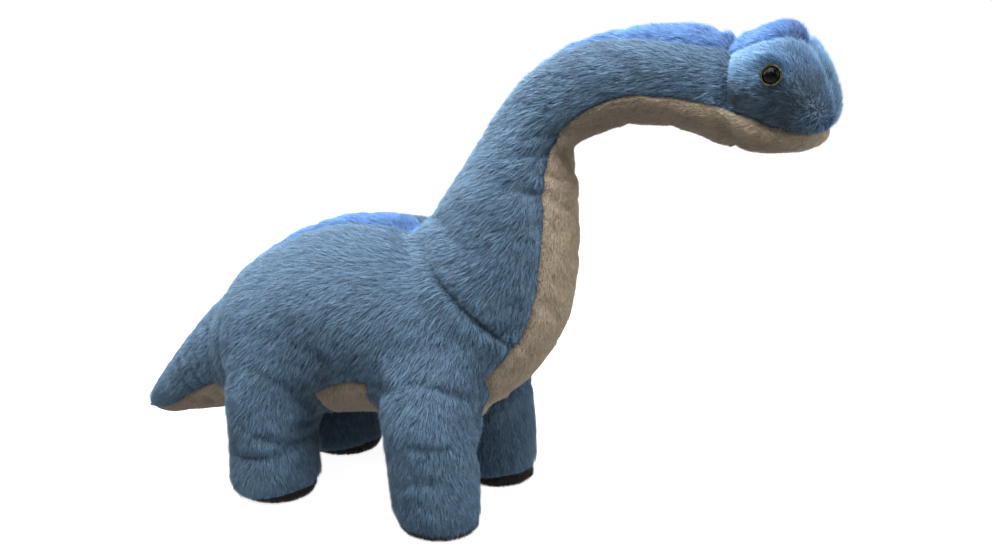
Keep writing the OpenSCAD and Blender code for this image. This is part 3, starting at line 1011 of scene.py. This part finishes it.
def grow(cover, labels, trim, node, rng, materials):
    """Strands of pile on one panel, as thin ribbons that lean the way they are brushed."""
    kind = pile_kind(node)
    length, rise, fall, disorder, density, width = PILE[kind]
    root, normal, corners, weight = scatter(cover.data, labels == LABEL[node], density, rng)
    left = (trim[corners] * weight).sum(1)
    if node.startswith("front_right_leg"):   # its pile is long enough to hide its sole
        left = np.where(root[:, Z] < 0.03, 1.0, left)
    clear = eye_distance(root)
    shown = clear > 1.02 * EYE_R
    root, normal, left, clear = root[shown], normal[shown], left[shown], clear[shown]
    count = len(root)

    flow, lock, round_eye = lay(root, normal, clear, kind, disorder, rng)
    across = np.cross(normal, flow)

    long = length * MM * (0.74 + 0.42 * rng.random(count)) * left
    long = long * (1 + 0.12 * smooth_noise(root, 0.009, 7)[:, X] + 0.06 * lock)
    long = long * round_eye
    up1 = np.radians(rise + 7 * rng.normal(size=count) + 3.5 * lock)
    up2 = np.radians(fall + 6 * rng.normal(size=count) + 3 * lock)
    bend = 0.8 * disorder * smooth_noise(root, 0.006, 8)[:, X] + 0.16 * rng.normal(size=count)
    first = np.cos(up1)[:, None] * flow + np.sin(up1)[:, None] * normal
    turned = unit(flow + bend[:, None] * across)
    second = np.cos(up2)[:, None] * turned + np.sin(up2)[:, None] * normal
    middle = root + 0.45 * long[:, None] * first
    tip = middle + 0.55 * long[:, None] * second

    roll = 0.5 * rng.normal(size=count)[:, None]
    flat = unit(np.cos(roll) * across + np.sin(roll) * np.cross(first, across))
    half = (width * MM / 2) * (0.75 + 0.5 * rng.random(count))[:, None] * flat
    verts = np.stack([root - 0.8 * half, root + 0.8 * half, middle + half, middle - half, tip], 1)
    if kind == "leg":
        hem = hem_height(node, verts)
        verts[:, :, Z] = np.maximum(verts[:, :, Z], hem)
    verts[:, :, Z] = np.maximum(verts[:, :, Z], FLOOR_Z)
    paleness_and_painted_light = 0.50 * lock + 0.80 * rng.normal(size=count)
    # on the head the strands' tone also carries painted light on the brow and snout front and painted shade on the
    # cheeks
    if kind == "head":
        paleness_and_painted_light += painted_face_light_and_shade(root)
    tone = np.digitize(paleness_and_painted_light, (-0.5, 0.5))
    return ribbons(node, verts, tone, materials)


def painted_face_light_and_shade(root):
    """The brow and the front of the snout are painted pale, as painted light, and the cheeks dark, as painted
    shade.
    """
    over_cheek = np.clip((root[:, Z] - EYES[0][Z] + 0.009) / 0.014, -1, 1)
    at_front = np.clip((root[:, X] - 0.345) / 0.020, 0, 1)
    return 1.9 * np.maximum(over_cheek, 1.4 * at_front - 1)


def hem_height(node, verts):
    """How low the pile of a leg hangs over its sole: lower behind the foot than before it."""
    leg = BODY_OF[node]
    if leg == "front_right_leg":
        return FLOOR_Z
    return sole_edge(leg, verts[:, :, X])


def ribbons(node, verts, tone, materials):
    """A mesh with a quad and a tip triangle for each strand."""
    count = len(verts)
    base = 5 * np.arange(count)[:, None]
    corners = np.concatenate([base + [0, 1, 2, 3], base + [3, 2, 4]], 1).ravel()
    sizes = np.tile([4, 3], count)
    starts = np.concatenate([[0], np.cumsum(sizes)[:-1]])
    name = node.replace("_panel", "_pile") if "_panel" in node else node + "_pile"
    mesh = bpy.data.meshes.new(name)
    mesh.vertices.add(5 * count)
    mesh.vertices.foreach_set("co", verts.reshape(-1))
    mesh.loops.add(7 * count)
    mesh.loops.foreach_set("vertex_index", corners)
    mesh.polygons.add(2 * count)
    mesh.polygons.foreach_set("loop_start", starts)
    mesh.polygons.foreach_set("material_index", (2 * tone[:, None] + [0, 1]).ravel())
    for m in materials:
        mesh.materials.append(m)
    mesh.update(calc_edges=True)
    shade_smooth(mesh)
    pile = new_object(name, mesh)
    follow(pile, BODY_OF[node])
    return pile


# ---------------------------------------------------------------- stage
def make_floor():
    bpy.ops.mesh.primitive_plane_add(size=80, location=(0, 0, FLOOR_Z - 0.0005))
    floor = bpy.context.object
    floor.name = "floor"
    m, s = principled("floor")
    s.inputs["Base Color"].default_value = (0.85, 0.85, 0.85, 1)
    s.inputs["Roughness"].default_value = 1.0
    s.inputs["Specular IOR Level"].default_value = 0.0
    s.inputs["Emission Color"].default_value = (1, 1, 1, 1)
    s.inputs["Emission Strength"].default_value = 0.92
    floor.visible_diffuse = False
    floor.data.materials.append(m)


def aim(obj, place, target):
    obj.location = place
    obj.rotation_mode = "QUATERNION"
    obj.rotation_quaternion = (Vector(target) - Vector(place)).to_track_quat("-Z", "Y")


def softbox(name, place, target, size, power):
    light = bpy.data.lights.new(name, "AREA")
    light.size = size
    light.energy = power
    obj = bpy.data.objects.new(name, light)
    bpy.context.scene.collection.objects.link(obj)
    aim(obj, place, target)


def make_lights():
    softbox("overhead", (0.08, -0.20, 1.30), (0.05, 0, 0.2), 0.9, 28)
    softbox("behind", (-0.95, 0.05, 1.10), (0.0, 0, 0.25), 1.0, 14)
    softbox("front", (1.45, 0.05, 0.80), (0.2, 0, 0.30), 0.9, 9)
    world = bpy.data.worlds.new("soft_light")
    world.use_nodes = True
    tree = world.node_tree
    sky = tree.nodes["Background"]
    sky.inputs["Color"].default_value = (0.97, 0.98, 1.0, 1)
    sky.inputs["Strength"].default_value = 0.125
    seen = tree.nodes.new("ShaderNodeBackground")
    seen.inputs["Color"].default_value = (0.96, 0.96, 0.96, 1)
    ray, mix = tree.nodes.new("ShaderNodeLightPath"), tree.nodes.new("ShaderNodeMixShader")
    tree.links.new(ray.outputs["Is Camera Ray"], mix.inputs["Fac"])
    tree.links.new(sky.outputs["Background"], mix.inputs[1])
    tree.links.new(seen.outputs["Background"], mix.inputs[2])
    tree.links.new(mix.outputs["Shader"], tree.nodes["World Output"].inputs["Surface"])
    bpy.context.scene.world = world
    bpy.context.scene.view_settings.view_transform = "Standard"


CAMERA_AZIMUTH, CAMERA_ELEVATION = 26.5, 14.5   # degrees
CAMERA_DISTANCE = 1.30
CAMERA_TARGET = (-0.0015, 0, 0.250)
CAMERA_LENS, SENSOR = 47.18, 36.0               # millimetres
CAMERA_SHIFT = (0.0582, -0.0186)


def make_camera():
    data = bpy.data.cameras.new("camera")
    data.lens, data.sensor_width = CAMERA_LENS, SENSOR
    data.shift_x, data.shift_y = CAMERA_SHIFT
    cam = bpy.data.objects.new("camera", data)
    bpy.context.scene.collection.objects.link(cam)
    a, e = math.radians(CAMERA_AZIMUTH), math.radians(CAMERA_ELEVATION)
    back = Vector((math.sin(a) * math.cos(e), -math.cos(a) * math.cos(e), math.sin(e)))
    aim(cam, Vector(CAMERA_TARGET) + CAMERA_DISTANCE * back, CAMERA_TARGET)
    bpy.context.scene.camera = cam


# ---------------------------------------------------------------- making it all
def finish_cad_node(node, material):
    data = NODES[node].data
    data.materials.clear()
    data.materials.append(material)


def main():
    make_camera()
    make_floor()
    make_lights()
    cover = whole_cover()
    labels, trim = dress(cover)
    rng = np.random.default_rng(71)
    backings = {slot: backing_material(slot) for slot in FUR}
    piles = {slot: pile_materials(slot) for slot in FUR}
    # the face's pile: wider-spread shades that carry painted light and painted shade
    face_pile_with_painted_light = pile_materials("fur_steel_blue", FACE_SPREAD_FOR_PAINTED_LIGHT)
    for node in PANELS:
        cut_panel(cover, labels, node, backings[SLOT_OF[node]])
        strands = face_pile_with_painted_light if pile_kind(node) == "head" else piles[SLOT_OF[node]]
        grow(cover, labels, trim, node, rng, strands)
    bpy.data.objects.remove(cover)
    fibre = stuffing_material()
    for node in STUFFINGS:
        make_stuffing(node, fibre)
    for side in ("right", "left"):
        finish_cad_node(f"{side}_eye_dome", eye_material())
        finish_cad_node(f"{side}_iris_ring", iris_material())
        finish_cad_node(f"{side}_eye_washer", washer_material())


main()
